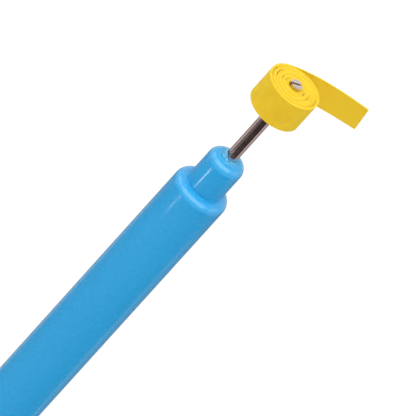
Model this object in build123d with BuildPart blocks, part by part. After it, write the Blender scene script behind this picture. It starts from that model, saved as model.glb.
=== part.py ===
"""Slotted quilling tool with a paper strip wound on its tip.

Millimetres. +Z runs along the tool from the tail to the tip, and the origin is the centre of the flat
tail face. +X is to the right of the tool as it is seen from -Y.
"""

from build123d import *
import math
import os

os.makedirs("parts", exist_ok=True)

# Handle tube
barrel_diameter = 8.75
barrel_length = 80.25
barrel_wall = 1.35
shoulder_round = 1.3

# Nose bush, whose shank is bonded into the front of the tube
nose_diameter = 5.8
nose_length = 6.5
nose_round = 1.4
nose_seat_step = 0.6
nose_shank_length = 10.0

# Lip of moulding flash around the pin's root, tall on one side
lip_foot_width = 0.42
lip_top_width = 0.16
lip_height = 0.95
lip_low_height = 0.25
lip_high_side_angle = 190.0

# Tail plug
plug_flange_thickness = 2.0
plug_shank_length = 8.0
plug_round = 0.7

# Steel pin
pin_diameter = 1.85
pin_exposed_length = 16.75
pin_seat_length = 12.0
pin_foot_chamfer = 0.2
pin_tip_round = 0.14

# Paper strip, wound clockwise outwards as seen from the tip
strip_width = 5.0
strip_thickness = 0.12
coil_diameter = 8.4
coil_half_turns = 11
fold_radius = 0.15
inner_turn_gap = 0.215
inner_end_inset = 0.2
tip_proud = 0.55
slot_angle = 40.0
tail_bend_radius = 22.0
tail_bend_angle = 37.0

# Clearances and small edge breaks
bond_gap = 0.02
slot_side_gap = 0.1
slot_foot_gap = 0.05
seam_chamfer = 0.12
shank_chamfer = 0.3
cut_overrun = 1.0
gap_sample_step = 0.1

# Radii and places worked out from the values above
barrel_radius = barrel_diameter / 2
bore_radius = barrel_radius - barrel_wall
nose_radius = nose_diameter / 2
shank_radius = nose_radius - nose_seat_step
pin_radius = pin_diameter / 2
pin_bore_radius = pin_radius + bond_gap
lip_foot_radius = pin_bore_radius + lip_foot_width
lip_top_radius = pin_bore_radius + lip_top_width
shoulder_z = plug_flange_thickness + barrel_length
nose_face_z = shoulder_z + nose_length
pin_foot_z = nose_face_z - pin_seat_length
tip_z = nose_face_z + pin_exposed_length
strip_bottom_z = tip_z - tip_proud - strip_width
slot_floor_z = strip_bottom_z - slot_foot_gap
slot_width = strip_thickness + 2 * slot_side_gap

# A rounding takes at most this share of the flat that carries it
round_limit_share = 0.95
shoulder_fillet = min(shoulder_round, (barrel_radius - nose_radius) * round_limit_share)
nose_fillet = min(nose_round, (nose_radius - lip_foot_radius) * round_limit_share)
plug_fillet = min(plug_round, plug_flange_thickness * round_limit_share)


# Barrel: a round tube with a front web that holds the nose's shank
with BuildPart() as barrel:
    with BuildSketch(Plane.XY.offset(plug_flange_thickness)):
        Circle(barrel_radius)
    extrude(amount=barrel_length)
    fillet(barrel.faces().sort_by(Axis.Z)[-1].edges(), shoulder_fillet)
    chamfer(barrel.faces().sort_by(Axis.Z)[0].edges(), seam_chamfer)
    with BuildSketch(Plane.XY.offset(plug_flange_thickness)):
        Circle(shank_radius + bond_gap)
    extrude(amount=barrel_length, mode=Mode.SUBTRACT)
    with BuildSketch(Plane.XY.offset(plug_flange_thickness)):
        Circle(bore_radius)
    extrude(amount=barrel_length - nose_shank_length, mode=Mode.SUBTRACT)

barrel.part.label = "barrel"
export_step(barrel.part, "parts/barrel.step")


# Lip of flash: a small cone on the nose's face, cut by a slanted plane so that one side stands tall
lip_slant = math.degrees(math.atan2(lip_height - lip_low_height, 2 * lip_foot_radius))
lip_cut_plane = (
    Plane.XY.offset(nose_face_z + (lip_height + lip_low_height) / 2)
    .rotated((0, 0, lip_high_side_angle))
    .rotated((0, -lip_slant, 0))
)
with BuildPart() as lip:
    with BuildSketch(Plane.XY.offset(nose_face_z)):
        Circle(lip_foot_radius)
    with BuildSketch(Plane.XY.offset(nose_face_z + lip_height)):
        Circle(lip_top_radius)
    loft()
    split(bisect_by=lip_cut_plane, keep=Keep.BOTTOM)


# Nose: a stepped bush with the spigot outside, the shank inside the barrel, and a blind bore for the pin
with BuildPart() as nose:
    with BuildSketch(Plane.XY.offset(shoulder_z)):
        Circle(nose_radius)
    extrude(amount=nose_length)
    fillet(nose.faces().sort_by(Axis.Z)[-1].edges(), nose_fillet)
    with BuildSketch(Plane.XY.offset(shoulder_z - nose_shank_length)):
        Circle(shank_radius)
    extrude(amount=nose_shank_length)
    chamfer(nose.faces().sort_by(Axis.Z)[0].edges(), shank_chamfer)
    add(lip.part)
    with BuildSketch(Plane.XY.offset(pin_foot_z)):
        Circle(pin_bore_radius)
    extrude(amount=pin_seat_length + lip_height + cut_overrun, mode=Mode.SUBTRACT)

nose.part.label = "nose"
export_step(nose.part, "parts/nose.step")


# Tail plug: a flange with the flat tail face, and a shank inside the barrel's bore
with BuildPart() as tail_plug:
    with BuildSketch(Plane.XY):
        Circle(barrel_radius)
    extrude(amount=plug_flange_thickness)
    fillet(tail_plug.faces().sort_by(Axis.Z)[0].edges(), plug_fillet)
    chamfer(tail_plug.faces().sort_by(Axis.Z)[-1].edges(), seam_chamfer)
    with BuildSketch(Plane.XY.offset(plug_flange_thickness)):
        Circle(bore_radius - bond_gap)
    extrude(amount=plug_shank_length)
    chamfer(tail_plug.faces().sort_by(Axis.Z)[-1].edges(), shank_chamfer)

tail_plug.part.label = "tail_plug"
export_step(tail_plug.part, "parts/tail_plug.step")


# Slotted pin: a straight steel pin, with a slot down from its rounded tip that leaves two prongs
slot_plane = Plane.XY.offset(slot_floor_z).rotated((0, 0, slot_angle))
with BuildPart() as slotted_pin:
    with BuildSketch(Plane.XY.offset(pin_foot_z)):
        Circle(pin_radius)
    extrude(amount=pin_seat_length + pin_exposed_length)
    fillet(slotted_pin.faces().sort_by(Axis.Z)[-1].edges(), pin_tip_round)
    chamfer(slotted_pin.faces().sort_by(Axis.Z)[0].edges(), pin_foot_chamfer)
    with BuildSketch(slot_plane):
        Rectangle(pin_diameter + cut_overrun, slot_width)
    extrude(amount=tip_z - slot_floor_z + cut_overrun, mode=Mode.SUBTRACT)

slotted_pin.part.label = "slotted_pin"
export_step(slotted_pin.part, "parts/slotted_pin.step")


# Middle line of the strip in the slot's own frame: x runs along the slot, and every bend is clockwise.
# It runs straight through the slot, folds round the pin's edge, and widens by one step each half turn.
first_turn_radius = pin_radius + inner_turn_gap + strip_thickness / 2
coil_outer_line_radius = (coil_diameter - strip_thickness) / 2
first_reach = first_turn_radius + fold_radius
half_turn_step = (coil_outer_line_radius - first_reach) / (coil_half_turns - 1 / 2)
strip_bends = [(fold_radius, 90), (first_turn_radius, 90)]
strip_bends += [
    (first_reach + half_turn_step * (turn + 1 / 2), 180) for turn in range(coil_half_turns)
]
strip_bends += [(tail_bend_radius, tail_bend_angle)]


def draw_strip_line(outward):
    """Lay the strip's line, moved outward from its middle, and return its two end points."""
    slot_run = Line(
        (inner_end_inset - pin_radius, outward),
        (first_turn_radius - fold_radius, outward),
    )
    reached = slot_run @ 1
    heading = slot_run % 1
    for bend_radius, bend_angle in strip_bends:
        bend = JernArc(reached, heading, bend_radius + outward, -bend_angle)
        reached = bend @ 1
        heading = bend % 1
    return slot_run @ 0, reached


# Paper strip: the band between the two sides of that line, as wide as the strip along the pin
strip_plane = Plane.XY.offset(strip_bottom_z).rotated((0, 0, slot_angle))
with BuildPart() as paper_strip:
    with BuildSketch(strip_plane):
        with BuildLine():
            inner_start, inner_finish = draw_strip_line(-strip_thickness / 2)
            outer_start, outer_finish = draw_strip_line(strip_thickness / 2)
            Line(inner_start, outer_start)
            Line(inner_finish, outer_finish)
        make_face()
    extrude(amount=strip_width)

paper_strip.part.label = "paper_strip"
export_step(paper_strip.part, "parts/paper_strip.step")


# Least gap between neighbouring turns, measured on points along the strip's middle line
with BuildLine() as strip_line:
    draw_strip_line(0)
strip_length = strip_line.wire().length
sample_count = int(strip_length / gap_sample_step)
samples = [tuple(strip_line.wire() @ (index / sample_count)) for index in range(sample_count + 1)]
# Points nearer along the strip than half of its tightest turn are its own run, not a neighbouring turn
own_run = int(math.pi * first_turn_radius / gap_sample_step)
least_gap = min(
    math.dist(samples[first], samples[second]) - strip_thickness
    for first in range(sample_count + 1)
    for second in range(first + own_run, sample_count + 1)
)
print(f"strip length {strip_length:.1f} mm, least gap to itself {least_gap:.3f} mm")
print(f"overall length {tip_z:.2f} mm")
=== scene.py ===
"""Looks of the slotted quilling tool: moulded blue handle, steel pin and yellow paper strip.

Metres, in the part's own frame: +Z runs from the flat tail face to the slotted tip, and the photograph
was taken from the -Y side.
"""

import math

import bmesh
import bpy
from mathutils import Matrix, Vector, noise


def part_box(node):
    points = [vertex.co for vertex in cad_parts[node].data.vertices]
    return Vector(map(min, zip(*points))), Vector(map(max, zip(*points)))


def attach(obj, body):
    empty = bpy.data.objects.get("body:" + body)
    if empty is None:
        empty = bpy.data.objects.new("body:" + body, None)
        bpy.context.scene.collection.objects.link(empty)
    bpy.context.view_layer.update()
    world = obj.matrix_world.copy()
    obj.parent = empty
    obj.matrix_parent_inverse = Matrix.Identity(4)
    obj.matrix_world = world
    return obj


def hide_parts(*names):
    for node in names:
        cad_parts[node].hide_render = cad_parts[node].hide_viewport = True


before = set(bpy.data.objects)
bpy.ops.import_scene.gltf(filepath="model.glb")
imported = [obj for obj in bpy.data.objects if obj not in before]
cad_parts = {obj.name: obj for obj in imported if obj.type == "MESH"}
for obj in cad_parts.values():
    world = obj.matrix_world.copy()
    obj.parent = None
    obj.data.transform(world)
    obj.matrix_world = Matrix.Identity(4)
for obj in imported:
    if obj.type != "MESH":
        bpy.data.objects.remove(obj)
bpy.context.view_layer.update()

MM = 0.001

# Sizes read from the frame
barrel_low, barrel_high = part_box("barrel")
nose_low, nose_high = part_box("nose")
plug_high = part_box("tail_plug")[1]
pin_low, pin_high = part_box("slotted_pin")
strip_low, strip_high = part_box("paper_strip")
BARREL_RADIUS = barrel_high.x
BARREL_FOOT_Z = barrel_low.z
SHOULDER_Z = barrel_high.z
NOSE_RADIUS = nose_high.x
SHANK_FOOT_Z = nose_low.z
PLUG_TOP_Z = plug_high.z
PIN_RADIUS = pin_high.x
PIN_FOOT_Z = pin_low.z
TIP_Z = pin_high.z
STRIP_WIDTH = strip_high.z - strip_low.z
STRIP_MIDDLE_Z = (strip_high.z + strip_low.z) / 2

# For all meshes: steps in a rounded corner, how far past it an extra point holds the shading, sides of a
# turned piece, how near the axis a point counts as on it, and the angle past which an edge looks sharp
CORNER_STEPS = 10
CORNER_SUPPORT = 0.06 * MM
TURNED_SIDES = 144
ON_AXIS = 1e-9
SHARP_ANGLE = math.radians(35)

# Handle details
BARREL_WALL = 1.35 * MM
SHOULDER_ROUND = 1.3 * MM
SEAM_CHAMFER = 0.12 * MM
SEAM_ROUND = 0.05 * MM
NOSE_LENGTH = 6.5 * MM
NOSE_ROUND = 1.4 * MM
NOSE_FOOT_ROUND = 0.03 * MM
SHANK_RADIUS = NOSE_RADIUS - 0.6 * MM
SHANK_CHAMFER = 0.3 * MM
BOND_GAP = 0.02 * MM
PLUG_FLANGE = BARREL_FOOT_Z
PLUG_ROUND = 0.7 * MM
NOSE_FACE_Z = SHOULDER_Z + NOSE_LENGTH
CRATER_RADIUS = 1.25 * MM
CRATER_DEPTH = 0.08 * MM
CRATER_ROUND = 0.03 * MM
BORE_CHAMFER = 0.04 * MM

# Flash around the pin's root: a collar that hugs the pin and rises into a thin leaning sheet on the left
FLASH_SIDES = 160
FLASH_ROWS = 10
FLASH_SHARP_ANGLE = math.radians(60)
FLASH_FOOT_RADIUS = 1.34 * MM
FLASH_TOP_WIDTH = 0.07 * MM
FLASH_COLLAR = 0.14 * MM
FLASH_SHEET = 1.1 * MM
FLASH_SHEET_ANGLE = math.radians(192)
FLASH_SHEET_BACK = math.radians(34)
FLASH_SHEET_FRONT = math.radians(80)
FLASH_LEAN = 0.2 * MM
FLASH_THIN = 0.05 * MM
FLASH_SINK = 0.05 * MM
FLASH_LUMP_ANGLE = math.radians(-42)
FLASH_LUMP_SPREAD = 0.2
# Powers that shape the sheet's outline, the flare to the foot, what the sheet takes off it, and the inside
SHEET_POWER = 1.3
FLARE_POWER = 2.2
FLARE_POWER_DROP = 0.8
INSIDE_POWER = 1.4
# A coarse and a fine noise make it uneven: how often each changes on the way round, and where it is read
COARSE_PACE = 2.3
COARSE_PLACE = 4.2
FINE_PACE = 7
FINE_PLACE = 1.7
# What the coarse noise, the fine noise and the front lump add to the collar, the sheet and the foot
COLLAR_CHANGE = (0.8, 0.5, 0.35)
SHEET_CHANGE = (0.12, 0.1, 0)
FOOT_CHANGE = (0.10 * MM, 0.05 * MM, 0.1 * MM)

# Pin details
SLOT_WIDTH = 0.32 * MM
SLOT_FLOOR_Z = strip_low.z - 0.05 * MM
SLOT_ANGLE = math.radians(40)
PRONG_ROUND = 0.12 * MM
PIN_CHAMFER = 0.2 * MM
PIN_ARC_STEPS = 48
PRONG_ROUND_STEPS = 4
PIN_SHARP_ANGLE = math.radians(30)
SLOT_FLOOR_MARGIN = 1e-7

# Paper strip. The turns lie close, and a few loosened ones stand apart over part of the way round.
PAPER_THICK = 0.118 * MM
INNER_END = -0.7 * MM
FOLD_RADIUS = 0.11 * MM
FOLD_STEPS = 6
INNER_REACH = 0.99 * MM
COIL_LINE_RADIUS = 4.14 * MM
COIL_TURNS = 20
TAIL_START_ANGLE = math.radians(132.5)
TAIL_LENGTH = 14.08 * MM
TAIL_TURN = math.radians(54.7)
TAIL_TURN_EASE = math.radians(-18)
TAIL_CLIMB = math.radians(3.5)
TAIL_CLIMB_EASE = math.radians(2.3)
TAIL_LEAN = math.radians(14.5)
TAIL_LEAN_EASE = math.radians(-0.2)
# Each loosened place: radius of the gap, direction of its middle, half of its spread, and its width
LOOSE_PLACES = [
    (3.78 * MM, math.radians(190), math.radians(85), 0.10 * MM),
    (3.52 * MM, math.radians(-75), math.radians(125), 0.08 * MM),
    (3.60 * MM, math.radians(-8), math.radians(55), 0.09 * MM),
    (3.08 * MM, math.radians(180), math.radians(75), 0.12 * MM),
    (2.85 * MM, math.radians(-100), math.radians(110), 0.05 * MM),
    (2.42 * MM, math.radians(-8), math.radians(48), 0.09 * MM),
    (2.20 * MM, math.radians(178), math.radians(60), 0.08 * MM),
    (1.70 * MM, math.radians(-8), math.radians(42), 0.09 * MM),
    (1.55 * MM, math.radians(182), math.radians(70), 0.08 * MM),
]
STATION_STEP = 0.1 * MM
WIDTH_ROWS = 8
# Stations over which the free tail's painted light eases in
TAIL_EASE_STATIONS = 8
# The cut edges wander up and down: how far, how fast round a turn and from turn to turn, and over how
# many turns the wander grows at the coil's start and fades at its end
EDGE_WANDER = 0.06 * MM
EDGE_WANDER_ROUND = 1.1
EDGE_WANDER_PACE = 0.55
WANDER_GROW_TURNS = 0.25
WANDER_FADE_TURNS = 1.5

# Colours, each pair from the darker to the lighter patches
PLASTIC_COLOURS = ((0.006, 0.326, 0.670), (0.010, 0.346, 0.690))
COLLAR_COLOURS = ((0.025, 0.34, 0.67), (0.08, 0.42, 0.73))
# The sheet's pair is painted light: paler than the plastic, standing for light passing through the thin
# sheet
SHEET_PAINTED_LIGHT_COLOURS = ((0.13, 0.43, 0.65), (0.25, 0.56, 0.74))
# The nickel's own grey, with a pink tint painted in as a reflection of warm surroundings
NICKEL_AND_PAINTED_REFLECTION_COLOURS = ((0.55, 0.48, 0.485), (0.64, 0.565, 0.565))
PAPER_COLOURS = ((0.73, 0.475, 0.010), (0.78, 0.520, 0.018))
# Painted shade: a warm orange on the walls of the inner turns, seen only deep in the gaps between them
GAP_SHADE_COLOUR = (0.98, 0.50, 0.006)
# Painted light: the free tail is coloured lighter, standing for light passing through its single sheet
TAIL_PAINTED_LIGHT_COLOUR = (0.78, 0.555, 0.016)
# Painted light: the cut edges, which make the coil's top, are coloured paler as if lit from above
CUT_EDGE_PAINTED_LIGHT_COLOUR = (0.94, 0.610, 0.030)

# What a noise's values mostly keep between
NOISE_LOW = 0.3
NOISE_HIGH = 0.7

# How light the dome and the floor are for the object, and for the camera and mirrors
WORLD_LIGHT = 0.48
FLOOR_ALBEDO = 0.75
FLOOR_SEEN = 0.97
FLOOR_GLOW_SHARE = 0.8
FLOOR_REACH = 3.0

# Card rings that only reflections show: name, inner and outer radius, height, tint, and stops of
# direction, in degrees round from the front, with how light the card is there
CARD_RINGS = [
    ("pin_card", 50 * MM, 130 * MM, 55 * MM, (1, 0.82, 0.77), [
        (-180, 0.26), (-112, 0.28), (-106, 0.62), (-86, 0.62), (-78, 0.22), (-24, 0.13), (-19, 0.045),
        (72, 0.04), (80, 0.60), (106, 0.60), (116, 0.27), (180, 0.24),
    ]),
    ("handle_card", 14 * MM, 108 * MM, 4 * MM, (1, 1, 1), [
        (-180, 0.23), (-147, 0.23), (-143, 0.62), (-137, 0.62), (-132, 0.22), (-107, 0.18), (-85, 0.22),
        (-62, 0.32), (-38, 0.32), (-15, 0.30), (20, 0.24), (60, 0.11), (85, 0.08), (104, 0.14),
        (108, 0.55), (114, 0.55), (119, 0.20), (180, 0.25),
    ]),
    ("nose_card", 108 * MM, 260 * MM, 4 * MM, (1, 1, 1), [
        (-180, 0.27), (-130, 0.23), (-107, 0.17), (-85, 0.18), (-62, 0.27), (-38, 0.33), (-15, 0.32),
        (20, 0.28), (60, 0.17), (85, 0.14), (115, 0.17), (180, 0.22),
    ]),
]
CARD_STEP = 2
CARD_ROUGHNESS = 0.8

# Soft lamps: name, direction from the object, distance, width, height, watts
SOFT_LAMPS = [
    ("softbox", Vector((-0.04, -0.48, 0.87)), 0.65, 1.3, 0.54, 5.4),
    ("left_panel", Vector((-0.86, 0.12, 0.50)), 0.65, 0.45, 0.32, 0.75),
    ("right_panel", Vector((0.86, 0.12, 0.50)), 0.65, 0.45, 0.32, 0.45),
]
# The same for the weak lamp behind, which reflections don't show
BACK_FILL = ("back_fill", Vector((0.10, 0.99, 0.10)), 0.65, 0.50, 0.35, 1.0)

# Small glint lamps stand front left and below, where the nose and the barrel mirror them as thin lines.
# Each lights a narrow cone: name, degrees round from the front, height of the axis point it faces,
# length and watts
GLINT_DROP = math.radians(33.9)
GLINT_REACH = 0.04
GLINT_WIDTH = 2.8 * MM
GLINT_SPREAD = math.radians(24)
GLINT_LAMPS = [
    ("nose_glint", -39.8, 86.8 * MM, 3.2 * MM, 7.5e-6),
    ("barrel_glint", -42.5, 81.6 * MM, 1.6 * MM, 1.7e-6),
]

# Camera, fitted to the photograph's own 416 by 416 frame
PHOTO_SIDE = 416
SENSOR_SIDE = 36
CAMERA_DISTANCE = 2.2
CAMERA_NEAR = 0.1
CAMERA_FAR = 20
PIXELS_PER_METRE = 7091
CAMERA_ELEVATION = math.radians(33.9)
CAMERA_ROLL = math.radians(42.12)
AIM_POINT = Vector((2.37 * MM, 0, 79.90 * MM))


# Meshes

def rounded(corners):
    """Points of an outline whose corners (across, up, radius) are rounded by arcs."""
    points = []
    count = len(corners)
    for index, (across, up, radius) in enumerate(corners):
        here = Vector((across, up))
        if radius == 0:
            points.append(here)
            continue
        before = (Vector(corners[index - 1][:2]) - here).normalized()
        after = (Vector(corners[(index + 1) % count][:2]) - here).normalized()
        half = before.angle(after) / 2
        reach = radius / math.tan(half)
        centre = here + (before + after).normalized() * (radius / math.sin(half))
        start = here + before * reach
        finish = here + after * reach
        points.append(start + before * CORNER_SUPPORT)
        turn = math.pi - 2 * half
        first = start - centre
        side = 1 if first.x * (finish - centre).y - first.y * (finish - centre).x > 0 else -1
        for step in range(CORNER_STEPS + 1):
            angle = side * turn * step / CORNER_STEPS
            points.append(centre + Vector((
                first.x * math.cos(angle) - first.y * math.sin(angle),
                first.x * math.sin(angle) + first.y * math.cos(angle),
            )))
        points.append(finish + after * CORNER_SUPPORT)
    return points


def add_to_scene(name, data):
    """A new object in the scene, which holds a mesh, a lamp or a camera."""
    made = bpy.data.objects.new(name, data)
    bpy.context.scene.collection.objects.link(made)
    return made


def add_mesh_object(name, vertices, faces, sharp_angle=SHARP_ANGLE):
    """A new object whose mesh is shaded smooth, apart from the edges that bend more than an angle."""
    mesh = bpy.data.meshes.new(name)
    mesh.from_pydata([tuple(vertex) for vertex in vertices], [], faces)
    mesh.validate()
    mesh.shade_smooth()
    mesh.set_sharp_from_angle(angle=sharp_angle)
    return add_to_scene(name, mesh)


def store(made, name, domain, values):
    """Keeps a number for each point or face of an object, which its material reads."""
    made.data.attributes.new(name, "FLOAT", domain).data.foreach_set("value", values)


def turn_from(middle, angle):
    """How far an angle lies from a middle one, from minus half a turn to half a turn."""
    return (angle - middle + math.pi) % (2 * math.pi) - math.pi


def weighted(shares, amounts):
    """The sum of some amounts, each multiplied by its share."""
    return sum(share * amount for share, amount in zip(shares, amounts))


def revolved(name, outline):
    """A closed solid turned about Z from an outline of (radius, height) points, which may touch the axis."""
    vertices = []
    rings = []
    for point in outline:
        if point.x < ON_AXIS:
            rings.append([len(vertices)])
            vertices.append((0, 0, point.y))
            continue
        rings.append(list(range(len(vertices), len(vertices) + TURNED_SIDES)))
        for side in range(TURNED_SIDES):
            angle = 2 * math.pi * side / TURNED_SIDES
            vertices.append((point.x * math.cos(angle), point.x * math.sin(angle), point.y))
    faces = []
    for index, ring in enumerate(rings):
        following = rings[(index + 1) % len(rings)]
        if len(ring) == 1 and len(following) == 1:
            continue
        for side in range(TURNED_SIDES):
            nxt = (side + 1) % TURNED_SIDES
            if len(ring) == 1:
                faces.append((ring[0], following[nxt], following[side]))
            elif len(following) == 1:
                faces.append((ring[side], ring[nxt], following[0]))
            else:
                faces.append((ring[side], ring[nxt], following[nxt], following[side]))
    return add_mesh_object(name, vertices, faces)


def make_barrel():
    """The handle's tube, whose thicker front end holds the nose's shank."""
    inner = BARREL_RADIUS - BARREL_WALL
    seat = SHANK_RADIUS + BOND_GAP
    return revolved("barrel_shell", rounded([
        (BARREL_RADIUS - SEAM_CHAMFER, BARREL_FOOT_Z, 0),
        (BARREL_RADIUS, BARREL_FOOT_Z + SEAM_CHAMFER, SEAM_ROUND),
        (BARREL_RADIUS, SHOULDER_Z, SHOULDER_ROUND),
        (seat, SHOULDER_Z, 0),
        (seat, SHANK_FOOT_Z, 0),
        (inner, SHANK_FOOT_Z, 0),
        (inner, BARREL_FOOT_Z, 0),
    ]))


def make_nose():
    """The narrower bush in front, with a shallow crater around the bore that takes the pin."""
    bore = PIN_RADIUS + BOND_GAP
    crater_z = NOSE_FACE_Z - CRATER_DEPTH
    return revolved("nose_bush", rounded([
        (0, SHANK_FOOT_Z, 0),
        (SHANK_RADIUS, SHANK_FOOT_Z, SHANK_CHAMFER),
        (SHANK_RADIUS, SHOULDER_Z, 0),
        (NOSE_RADIUS + NOSE_FOOT_ROUND, SHOULDER_Z, 0),
        (NOSE_RADIUS, SHOULDER_Z + NOSE_FOOT_ROUND, NOSE_FOOT_ROUND),
        (NOSE_RADIUS, NOSE_FACE_Z, NOSE_ROUND),
        (CRATER_RADIUS, NOSE_FACE_Z, CRATER_ROUND),
        (bore + BORE_CHAMFER, crater_z, 0),
        (bore, crater_z - BORE_CHAMFER, 0),
        (bore, PIN_FOOT_Z, 0),
        (0, PIN_FOOT_Z, 0),
    ]))


def make_tail_plug():
    """The tail's cap, with a rounded flange and a shank inside the tube."""
    shank = BARREL_RADIUS - BARREL_WALL - BOND_GAP
    return revolved("tail_cap", rounded([
        (0, 0, 0),
        (BARREL_RADIUS, 0, PLUG_ROUND),
        (BARREL_RADIUS, PLUG_FLANGE - SEAM_CHAMFER, SEAM_ROUND),
        (BARREL_RADIUS - SEAM_CHAMFER, PLUG_FLANGE, 0),
        (shank, PLUG_FLANGE, 0),
        (shank, PLUG_TOP_Z, SHANK_CHAMFER),
        (0, PLUG_TOP_Z, 0),
    ]))


def make_flash():
    """A ragged collar around the pin, sunk a little into the nose's face, with its thin sheet."""
    hug = PIN_RADIUS + BOND_GAP
    outer = []
    inner = []
    thin = []
    for side in range(FLASH_SIDES):
        angle = 2 * math.pi * side / FLASH_SIDES
        direction = Vector((math.cos(angle), math.sin(angle), 0))
        away = turn_from(FLASH_SHEET_ANGLE, angle)
        spread = FLASH_SHEET_FRONT if away > 0 else FLASH_SHEET_BACK
        sheet = math.cos(min(1, abs(away) / spread) * math.pi / 2) ** SHEET_POWER
        lump_away = turn_from(FLASH_LUMP_ANGLE, angle)
        uneven = (
            noise.noise(Vector((direction.x * COARSE_PACE, direction.y * COARSE_PACE, COARSE_PLACE))),
            noise.noise(Vector((direction.x * FINE_PACE, direction.y * FINE_PACE, FINE_PLACE))),
            math.exp(-(lump_away / FLASH_LUMP_SPREAD) ** 2),
        )
        height = FLASH_COLLAR * (1 + weighted(COLLAR_CHANGE, uneven))
        height += (FLASH_SHEET - FLASH_COLLAR) * sheet * (1 + weighted(SHEET_CHANGE, uneven))
        top = hug + FLASH_TOP_WIDTH + FLASH_LEAN * sheet
        foot = FLASH_FOOT_RADIUS + weighted(FOOT_CHANGE, uneven)
        flare = FLARE_POWER - FLARE_POWER_DROP * sheet
        for row in range(FLASH_ROWS + 1):
            share = row / FLASH_ROWS
            radius = top + (foot - top) * (1 - share) ** flare
            inside = hug + max(0, top - FLASH_THIN - hug) * share ** INSIDE_POWER
            up = Vector((0, 0, NOSE_FACE_Z - FLASH_SINK + (height + FLASH_SINK) * share))
            outer.append(direction * radius + up)
            inner.append(direction * inside + up)
            thin.append(sheet)
    faces = []
    offset = len(outer)
    column = FLASH_ROWS + 1
    for side in range(FLASH_SIDES):
        foot = side * column
        foot_next = (side + 1) % FLASH_SIDES * column
        for row in range(FLASH_ROWS):
            here = foot + row
            there = foot_next + row
            faces.append((here, there, there + 1, here + 1))
            faces.append((offset + here, offset + here + 1, offset + there + 1, offset + there))
        top = foot + FLASH_ROWS
        top_next = foot_next + FLASH_ROWS
        faces.append((top, top_next, offset + top_next, offset + top))
        faces.append((foot, offset + foot, offset + foot_next, foot_next))
    flash = add_mesh_object("pin_root_flash", outer + inner, faces, FLASH_SHARP_ANGLE)
    # How much of the sheet each point holds, which the material reads to paint the sheet paler as light
    # passing through it
    store(flash, "thin", "POINT", thin + thin)
    return flash


def make_pin():
    """A round pin whose tip is split by a slot into two prongs, with every edge eased."""
    corner = math.asin(SLOT_WIDTH / 2 / PIN_RADIUS)
    half_ring = PIN_ARC_STEPS + 1
    shape = bmesh.new()

    def ring(radius, height):
        made = []
        for side in (0, 1):
            for step in range(half_ring):
                angle = side * math.pi + corner + (math.pi - 2 * corner) * step / PIN_ARC_STEPS
                place = (radius * math.cos(angle), radius * math.sin(angle), height)
                made.append(shape.verts.new(place))
        return made

    def skin(low, high):
        for index in range(len(low)):
            nxt = (index + 1) % len(low)
            shape.faces.new((low[index], low[nxt], high[nxt], high[index]))

    foot = ring(PIN_RADIUS - PIN_CHAMFER, PIN_FOOT_Z)
    above_foot = ring(PIN_RADIUS, PIN_FOOT_Z + PIN_CHAMFER)
    floor = ring(PIN_RADIUS, SLOT_FLOOR_Z)
    shape.faces.new(reversed(foot))
    skin(foot, above_foot)
    skin(above_foot, floor)
    tip = ring(PIN_RADIUS, TIP_Z)
    for start in (0, half_ring):
        low = floor[start:start + half_ring]
        high = tip[start:start + half_ring]
        for step in range(PIN_ARC_STEPS):
            shape.faces.new((low[step], low[step + 1], high[step + 1], high[step]))
        shape.faces.new((low[-1], low[0], high[0], high[-1]))
        shape.faces.new(high)
    shape.faces.new((floor[0], floor[half_ring - 1], floor[half_ring], floor[-1]))
    sharp = []
    for edge in shape.edges:
        bent = len(edge.link_faces) == 2 and edge.calc_face_angle() > PIN_SHARP_ANGLE
        lowest = min(end.co.z for end in edge.verts)
        if bent and lowest > SLOT_FLOOR_Z - SLOT_FLOOR_MARGIN:
            sharp.append(edge)
    bmesh.ops.bevel(
        shape, geom=sharp, offset=PRONG_ROUND, segments=PRONG_ROUND_STEPS, profile=0.5,
        affect="EDGES", clamp_overlap=True,
    )
    slot_turn = Matrix.Rotation(SLOT_ANGLE, 3, "Z")
    bmesh.ops.rotate(shape, verts=shape.verts, cent=(0, 0, 0), matrix=slot_turn)
    mesh = bpy.data.meshes.new("steel_pin")
    shape.to_mesh(mesh)
    shape.free()
    mesh.shade_smooth()
    mesh.set_sharp_from_angle(angle=PIN_SHARP_ANGLE)
    return add_to_scene("steel_pin", mesh)


def coil_layout():
    """The direction where the spiral starts, and how many turns it makes to the tail."""
    start = SLOT_ANGLE - math.atan2(FOLD_RADIUS, INNER_REACH)
    part_turn = ((start - TAIL_START_ANGLE) / (2 * math.pi)) % 1
    return start, COIL_TURNS + part_turn


def coil_radius(turns_done, angle, turns, inner, loose):
    """Radius of the strip's middle line: even turns, and wider steps where a place is loosened."""
    even = (COIL_LINE_RADIUS - inner) / turns
    opened = 0
    passed = 0
    for step_at, middle, spread, width in loose:
        away = abs(turn_from(middle, angle))
        if away >= spread:
            continue
        here = width * math.cos(away / spread * math.pi / 2) ** 2
        opened += here
        if turns_done > step_at:
            passed += here
    share = (turns_done * even + passed) / (turns * even + opened)
    return inner + (COIL_LINE_RADIUS - inner) * share


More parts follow.
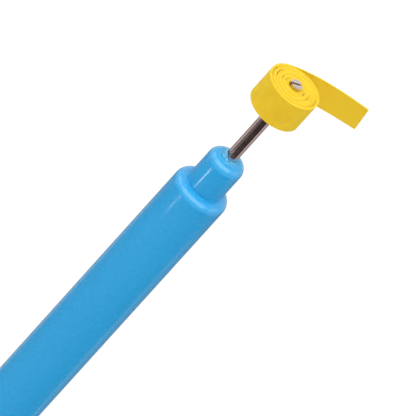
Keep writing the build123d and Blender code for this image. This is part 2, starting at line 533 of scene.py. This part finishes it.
def strip_stations():
    """Places along the strip, each with its middle, the way across its width, and its outward side."""
    stations = []
    slot_way = Vector((math.cos(SLOT_ANGLE), math.sin(SLOT_ANGLE), 0))
    slot_left = Vector((-slot_way.y, slot_way.x, 0))
    up = Vector((0, 0, 1))
    middle_z = up * STRIP_MIDDLE_Z

    # Straight through the slot, then round the fold
    run_end = INNER_REACH - FOLD_RADIUS
    count = int((run_end - INNER_END) / STATION_STEP)
    for step in range(count):
        along = INNER_END + (run_end - INNER_END) * step / count
        stations.append((slot_way * along + middle_z, up, slot_left))
    fold_centre = slot_way * run_end - slot_left * FOLD_RADIUS
    for step in range(FOLD_STEPS + 1):
        angle = math.pi / 2 * (1 - step / FOLD_STEPS)
        outward = slot_way * math.cos(angle) + slot_left * math.sin(angle)
        stations.append((fold_centre + outward * FOLD_RADIUS + middle_z, up, outward))

    # The coil, clockwise and outwards
    start, turns = coil_layout()
    inner = math.hypot(INNER_REACH, FOLD_RADIUS)
    even = (COIL_LINE_RADIUS - inner) / turns
    loose = []
    for radius, middle, spread, width in LOOSE_PLACES:
        nearest = (radius - inner) / even
        phase = ((start - middle - math.pi) / (2 * math.pi)) % 1
        loose.append((phase + round(nearest - phase), middle, spread, width))
    done = 0
    while done < turns:
        angle = start - 2 * math.pi * done
        radius = coil_radius(done, angle, turns, inner, loose)
        outward = Vector((math.cos(angle), math.sin(angle), 0))
        around = outward * EDGE_WANDER_ROUND
        wander = noise.noise(Vector((around.x, around.y, done * EDGE_WANDER_PACE)))
        wander *= EDGE_WANDER * min(1, (turns - done) / WANDER_FADE_TURNS, done / WANDER_GROW_TURNS)
        stations.append((outward * radius + middle_z + up * wander, up, outward))
        done += STATION_STEP / (2 * math.pi * radius)

    # The free tail bends back towards a straight line, climbs a little and leans as it goes
    outward = Vector((math.cos(TAIL_START_ANGLE), math.sin(TAIL_START_ANGLE), 0))
    place = outward * COIL_LINE_RADIUS + middle_z
    count = int(TAIL_LENGTH / STATION_STEP)
    for step in range(count + 1):
        share = step / count
        heading = TAIL_START_ANGLE - math.pi / 2 - TAIL_TURN * share - TAIL_TURN_EASE * share ** 2
        climb = TAIL_CLIMB * share + TAIL_CLIMB_EASE * share ** 2
        lean = TAIL_LEAN * share + TAIL_LEAN_EASE * share ** 2
        way = Vector((
            math.cos(climb) * math.cos(heading),
            math.cos(climb) * math.sin(heading),
            math.sin(climb),
        ))
        left = Vector((-math.sin(heading), math.cos(heading), 0))
        across = way.cross(left) * math.cos(lean) - left * math.sin(lean)
        stations.append((place.copy(), across, across.cross(way)))
        place += way * (TAIL_LENGTH / count)
    return stations


def make_strip():
    """The paper band around its middle line, with its cut edges, free tail and inner turns marked for the
    painted light and shade of its material.
    """
    vertices = []
    faces = []
    cut_edge_painted_light = []
    free_tail_painted_light = []
    section = 2 * (WIDTH_ROWS + 1)
    stations = strip_stations()
    tail_from = len(stations) - int(TAIL_LENGTH / STATION_STEP) - 1
    for station, (place, across, outward) in enumerate(stations):
        # The free tail is marked for its painted light, which eases in over a few stations
        free_tail_painted_light += [min(1, max(0, (station - tail_from) / TAIL_EASE_STATIONS))] * section
        for side in (1, -1):
            for row in range(WIDTH_ROWS + 1):
                off_middle = across * (STRIP_WIDTH * side * (row / WIDTH_ROWS - 0.5))
                off_middle += outward * (side * PAPER_THICK / 2)
                vertices.append(place + off_middle)
    for station in range(len(stations) - 1):
        here = station * section
        there = here + section
        along_tail = max(0, (station - tail_from) / (len(stations) - tail_from))
        for corner in range(section):
            nxt = (corner + 1) % section
            faces.append((here + corner, here + nxt, there + nxt, there + corner))
            # The painted light on the cut edges fades along the free tail
            cut_edge_painted_light.append((1 - along_tail) ** 2 if corner in (WIDTH_ROWS, section - 1) else 0)
    faces.append(tuple(reversed(range(section))))
    cut_edge_painted_light.append(1)
    last = (len(stations) - 1) * section
    faces.append(tuple(range(last, last + section)))
    cut_edge_painted_light.append(0)
    # The outward side of the last turn lies open, so it gets no painted gap shade
    outer_turn = int(2 * math.pi * COIL_LINE_RADIUS / STATION_STEP)
    painted_gap_shade = []
    for index in range(len(faces)):
        station, corner = divmod(index, section)
        open_from = tail_from - outer_turn if corner < WIDTH_ROWS else tail_from
        painted_gap_shade.append(1 if station < open_from else 0)
    made = add_mesh_object("paper_coil", vertices, faces)
    store(made, "cut_edge_painted_light", "FACE", cut_edge_painted_light)
    store(made, "free_tail_painted_light", "POINT", free_tail_painted_light)
    store(made, "painted_gap_shade", "FACE", painted_gap_shade)
    return made


# Materials

def start_material(name):
    """A new material, with its tree of nodes and its shader."""
    material = bpy.data.materials.new(name)
    material.use_nodes = True
    tree = material.node_tree
    return material, tree, tree.nodes["Principled BSDF"]


def place_on_object(tree):
    """The place on the object, for the noises to read."""
    return tree.nodes.new("ShaderNodeTexCoord").outputs["Object"]


def read_stored(tree, name):
    """The number that a mesh keeps under a name for each of its points or faces."""
    read = tree.nodes.new("ShaderNodeAttribute")
    read.attribute_name = name
    return read.outputs["Fac"]


def add_noise(tree, place, size, detail=3, stretch=None, roughness=0.5):
    """Noise with features about size metres across. A stretch under 1 draws them out along its axis."""
    texture = tree.nodes.new("ShaderNodeTexNoise")
    texture.inputs["Scale"].default_value = 1 / size
    texture.inputs["Detail"].default_value = detail
    texture.inputs["Roughness"].default_value = roughness
    if stretch:
        mapping = tree.nodes.new("ShaderNodeMapping")
        mapping.inputs["Scale"].default_value = stretch
        tree.links.new(place, mapping.inputs["Vector"])
        place = mapping.outputs["Vector"]
    tree.links.new(place, texture.inputs["Vector"])
    return texture.outputs["Fac"]


def add_range(tree, value, low, high, from_low=NOISE_LOW, from_high=NOISE_HIGH):
    """Stretches a value over the range from low to high, held at both ends."""
    ranged = tree.nodes.new("ShaderNodeMapRange")
    ranged.inputs["From Min"].default_value = from_low
    ranged.inputs["From Max"].default_value = from_high
    ranged.inputs["To Min"].default_value = low
    ranged.inputs["To Max"].default_value = high
    tree.links.new(value, ranged.inputs["Value"])
    return ranged.outputs["Result"]


def add_math(tree, operation, first, second):
    """A step of arithmetic on a socket and a second socket or plain number."""
    step = tree.nodes.new("ShaderNodeMath")
    step.operation = operation
    tree.links.new(first, step.inputs[0])
    if isinstance(second, float):
        step.inputs[1].default_value = second
    else:
        tree.links.new(second, step.inputs[1])
    return step.outputs[0]


def add_mix(tree, factor, first, second):
    """Mixes two colours, each written out or from a socket."""
    mix = tree.nodes.new("ShaderNodeMix")
    mix.data_type = "RGBA"
    tree.links.new(factor, mix.inputs["Factor"])
    for value, socket in ((first, mix.inputs["A"]), (second, mix.inputs["B"])):
        if isinstance(value, tuple):
            socket.default_value = (*value, 1)
        else:
            tree.links.new(value, socket)
    return mix.outputs["Result"]


def add_bump(tree, shader, heights):
    """Chains bumps, each a (height, depth in metres) pair, into the shader's normal."""
    normal = None
    for height, depth in heights:
        bump = tree.nodes.new("ShaderNodeBump")
        bump.inputs["Distance"].default_value = depth
        tree.links.new(height, bump.inputs["Height"])
        if normal:
            tree.links.new(normal, bump.inputs["Normal"])
        normal = bump.outputs["Normal"]
    tree.links.new(normal, shader.inputs["Normal"])


def plastic_material():
    """Glossy moulded plastic: even colour, faint flow marks, and a slightly soft polish."""
    material, tree, shader = start_material("moulded_blue")
    place = place_on_object(tree)
    flow = add_noise(tree, place, 5 * MM, detail=4, stretch=(1, 1, 0.25))
    colour = add_mix(tree, add_range(tree, flow, 0, 1), *PLASTIC_COLOURS)
    tree.links.new(colour, shader.inputs["Base Color"])
    haze = add_noise(tree, place, 1.3 * MM, detail=5)
    tree.links.new(add_range(tree, haze, 0.25, 0.31), shader.inputs["Roughness"])
    shader.inputs["Coat Weight"].default_value = 0.45
    shader.inputs["Coat Roughness"].default_value = 0.06
    shader.inputs["Subsurface Weight"].default_value = 0.15
    shader.inputs["Subsurface Radius"].default_value = (0.2, 0.6, 1.0)
    shader.inputs["Subsurface Scale"].default_value = 0.6 * MM
    shader.inputs["IOR"].default_value = 1.50
    waves = add_noise(tree, place, 3.5 * MM, detail=2, stretch=(1, 1, 0.3))
    grain = add_noise(tree, place, 0.12 * MM)
    add_bump(tree, shader, [(waves, 0.0022 * MM), (grain, 0.0003 * MM)])
    return material


def flash_material():
    """Thin skin of the same plastic, whose sheet is painted paler to stand for light passing through it."""
    material, tree, shader = start_material("thin_blue_flash")
    place = place_on_object(tree)
    patches = add_noise(tree, place, 0.5 * MM, detail=4)
    patchy = add_range(tree, patches, 0, 1)
    collar = add_mix(tree, patchy, *COLLAR_COLOURS)
    sheet = add_mix(tree, patchy, *SHEET_PAINTED_LIGHT_COLOURS)
    # Painted light: the sheet is coloured paler, for light passing through it
    colour = add_mix(tree, read_stored(tree, "thin"), collar, sheet)
    tree.links.new(colour, shader.inputs["Base Color"])
    tree.links.new(add_range(tree, patches, 0.25, 0.45), shader.inputs["Roughness"])
    shader.inputs["Subsurface Weight"].default_value = 0.5
    shader.inputs["Subsurface Radius"].default_value = (0.5, 0.8, 1.0)
    shader.inputs["Subsurface Scale"].default_value = 0.4 * MM
    crinkle = add_noise(tree, place, 0.25 * MM)
    add_bump(tree, shader, [(crinkle, 0.02 * MM)])
    return material


def steel_material():
    """Bright nickel over drawn steel wire: fine lines along the pin, soft cloudy patches, and a pink tint
    painted in as a reflection of warm surroundings.
    """
    material, tree, shader = start_material("bright_nickel")
    place = place_on_object(tree)
    shader.inputs["Metallic"].default_value = 1
    cloud = add_noise(tree, place, 0.8 * MM, detail=4)
    # Painted reflection: the pink tint in both nickel colours stands for warm surroundings mirrored in the
    # pin
    colour = add_mix(tree, add_range(tree, cloud, 0, 1), *NICKEL_AND_PAINTED_REFLECTION_COLOURS)
    tree.links.new(colour, shader.inputs["Base Color"])
    lines = add_noise(tree, place, 0.05 * MM, stretch=(1, 1, 0.02))
    tree.links.new(add_range(tree, cloud, 0.10, 0.16), shader.inputs["Roughness"])
    add_bump(tree, shader, [(lines, 0.0009 * MM)])
    return material


def paper_material():
    """Matte yellow paper: short fibres and slight mottling, with painted shade in warm orange on the inner
    turns, painted light on the free tail, and cut edges painted paler as light on the coil's top.
    """
    material, tree, shader = start_material("yellow_paper")
    place = place_on_object(tree)
    mottle = add_noise(tree, place, 1.4 * MM, detail=5)
    colour = add_mix(tree, add_range(tree, mottle, 0, 1), *PAPER_COLOURS)
    # Painted shade in the gaps: the inner turns' walls take a warm orange
    colour = add_mix(tree, read_stored(tree, "painted_gap_shade"), colour, GAP_SHADE_COLOUR)
    # Painted light: the free tail is coloured lighter, as if lit through from behind
    colour = add_mix(tree, read_stored(tree, "free_tail_painted_light"), colour, TAIL_PAINTED_LIGHT_COLOUR)
    # Painted light: the cut edges are coloured paler, standing for light falling on the coil's top
    colour = add_mix(tree, read_stored(tree, "cut_edge_painted_light"), colour, CUT_EDGE_PAINTED_LIGHT_COLOUR)
    tree.links.new(colour, shader.inputs["Base Color"])
    tree.links.new(add_range(tree, mottle, 0.68, 0.82), shader.inputs["Roughness"])
    shader.inputs["Specular IOR Level"].default_value = 0.35
    shader.inputs["Subsurface Weight"].default_value = 0.7
    shader.inputs["Subsurface Radius"].default_value = (1.0, 0.8, 0.15)
    shader.inputs["Subsurface Scale"].default_value = 0.22 * MM
    fibres = add_noise(tree, place, 0.16 * MM, detail=4, stretch=(1, 1, 2.2), roughness=0.6)
    tooth = add_noise(tree, place, 0.05 * MM, detail=2)
    add_bump(tree, shader, [(fibres, 0.010 * MM), (tooth, 0.003 * MM)])
    return material


# Stage: floor, world, lamps, card rings and camera

def make_floor():
    """A plain pale floor that the camera and mirrors see nearly white, and that keeps its shadow."""
    corners = [(-1, -1), (1, -1), (1, 1), (-1, 1)]
    floor = add_mesh_object("floor", [
        (FLOOR_REACH * across, FLOOR_REACH * deep, 0) for across, deep in corners
    ], [(0, 1, 2, 3)])
    material, tree, shader = start_material("pale_floor")
    tree.nodes.remove(shader)
    matte = tree.nodes.new("ShaderNodeBsdfDiffuse")
    glow = tree.nodes.new("ShaderNodeEmission")
    mix = tree.nodes.new("ShaderNodeMixShader")
    path = tree.nodes.new("ShaderNodeLightPath")
    seen = add_math(tree, "MAXIMUM", path.outputs["Is Camera Ray"], path.outputs["Is Glossy Ray"])
    colour = add_mix(tree, seen, (FLOOR_ALBEDO,) * 3, (FLOOR_SEEN,) * 3)
    tree.links.new(colour, matte.inputs["Color"])
    tree.links.new(add_math(tree, "MULTIPLY", seen, FLOOR_GLOW_SHARE), mix.inputs["Fac"])
    tree.links.new(matte.outputs[0], mix.inputs[1])
    tree.links.new(glow.outputs[0], mix.inputs[2])
    tree.links.new(mix.outputs[0], tree.nodes["Material Output"].inputs["Surface"])
    floor.data.materials.append(material)


def make_world():
    """A plain dome of soft light, which the camera and mirrors see as white."""
    world = bpy.data.worlds.new("studio")
    world.use_nodes = True
    tree = world.node_tree
    back = tree.nodes["Background"]
    path = tree.nodes.new("ShaderNodeLightPath")
    glossy = path.outputs["Is Glossy Ray"]
    mirrored = add_math(tree, "MAXIMUM", glossy, path.outputs["Is Transmission Ray"])
    seen = add_math(tree, "MAXIMUM", path.outputs["Is Camera Ray"], mirrored)
    tree.links.new(add_range(tree, seen, WORLD_LIGHT, 1, 0, 1), back.inputs["Strength"])
    back.inputs["Color"].default_value = (1, 1, 1, 1)
    bpy.context.scene.world = world


def photo_axes():
    """The picture's right, up and towards-camera directions in the part's frame."""
    toward = Vector((0, -math.cos(CAMERA_ELEVATION), math.sin(CAMERA_ELEVATION)))
    level_up = Vector((0, math.sin(CAMERA_ELEVATION), math.cos(CAMERA_ELEVATION)))
    level_right = Vector((1, 0, 0))
    right = level_up * math.sin(CAMERA_ROLL) + level_right * math.cos(CAMERA_ROLL)
    up = level_up * math.cos(CAMERA_ROLL) - level_right * math.sin(CAMERA_ROLL)
    return right, up, toward


def add_lamp(name, direction, distance, width, height, watts, aim_z=SHOULDER_Z):
    """A lamp panel that faces a point of the tool's axis from a direction in the part's frame."""
    direction = direction.normalized()
    light = bpy.data.lights.new(name, "AREA")
    light.shape = "RECTANGLE"
    light.size = width
    light.size_y = height
    light.energy = watts
    lamp = add_to_scene(name, light)
    lamp.location = Vector((0, 0, aim_z)) + direction * distance
    lamp.rotation_mode = "QUATERNION"
    lamp.rotation_quaternion = direction.to_track_quat("Z", "Y")
    lamp.visible_camera = False
    return lamp


def make_lamps():
    """The soft lamps, the back fill, and the glint lamps that only reflections show."""
    for lamp in SOFT_LAMPS:
        add_lamp(*lamp)
    add_lamp(*BACK_FILL).visible_glossy = False
    for name, degrees, aim_z, length, watts in GLINT_LAMPS:
        angle = math.radians(degrees)
        level = math.cos(GLINT_DROP)
        way = Vector((level * math.sin(angle), -level * math.cos(angle), -math.sin(GLINT_DROP)))
        glint = add_lamp(name, way, GLINT_REACH, GLINT_WIDTH, length, watts, aim_z)
        glint.data.spread = GLINT_SPREAD
        glint.visible_diffuse = False


def make_card_ring(name, inner, outer, height, tint, stops):
    """A level ring of card, shaded smoothly from stop to stop, that only reflections show."""
    vertices = []
    shades = []
    faces = []
    for degrees in range(-180, 180, CARD_STEP):
        angle = math.radians(degrees)
        shade = stops[-1][1]
        for (before, first), (after, second) in zip(stops, stops[1:]):
            if before <= degrees < after:
                shade = first + (second - first) * (degrees - before) / (after - before)
        for radius in (inner, outer):
            vertices.append((radius * math.sin(angle), -radius * math.cos(angle), height))
            shades.append(shade)
    for here in range(0, len(vertices), 2):
        there = (here + 2) % len(vertices)
        faces.append((here, here + 1, there + 1, there))
    card = add_mesh_object(name, vertices, faces)
    store(card, "shade", "POINT", shades)
    material, tree, shader = start_material(name)
    colour = add_mix(tree, read_stored(tree, "shade"), (0, 0, 0), tint)
    tree.links.new(colour, shader.inputs["Base Color"])
    shader.inputs["Roughness"].default_value = CARD_ROUGHNESS
    shader.inputs["Specular IOR Level"].default_value = 0
    card.data.materials.append(material)
    card.visible_camera = False
    card.visible_diffuse = False
    card.visible_shadow = False
    card.visible_transmission = False


def make_camera():
    """The camera at the photograph's angle, roll and scale."""
    right, up, toward = photo_axes()
    camera = bpy.data.cameras.new("photo_camera")
    camera.sensor_width = SENSOR_SIDE
    camera.lens = PIXELS_PER_METRE * CAMERA_DISTANCE * SENSOR_SIDE / PHOTO_SIDE
    camera.clip_start = CAMERA_NEAR
    camera.clip_end = CAMERA_FAR
    made = add_to_scene("photo_camera", camera)
    facing = Matrix((right, up, toward)).transposed().to_4x4()
    made.matrix_world = Matrix.Translation(AIM_POINT + toward * CAMERA_DISTANCE) @ facing
    bpy.context.scene.camera = made


def dress():
    """Makes each piece, gives it its material, and lets it stand for its node."""
    plastic = plastic_material()
    paper = paper_material()
    steel = steel_material()
    pieces = [
        (make_barrel(), "tool", "barrel", "handle_plastic", plastic),
        (make_nose(), "tool", "nose", "handle_plastic", plastic),
        (make_tail_plug(), "tool", "tail_plug", "handle_plastic", plastic),
        (make_pin(), "tool", "slotted_pin", "pin_steel", steel),
        (make_strip(), "strip", "paper_strip", "strip_paper", paper),
        (make_flash(), "tool", None, "handle_plastic", flash_material()),
    ]
    for piece, body, node, slot, material in pieces:
        piece.data.materials.append(material)
        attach(piece, body)
        if node:
            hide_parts(node)


make_camera()
make_floor()
make_world()
make_lamps()
for ring in CARD_RINGS:
    make_card_ring(*ring)
dress()
bpy.context.scene.view_settings.view_transform = "Standard"
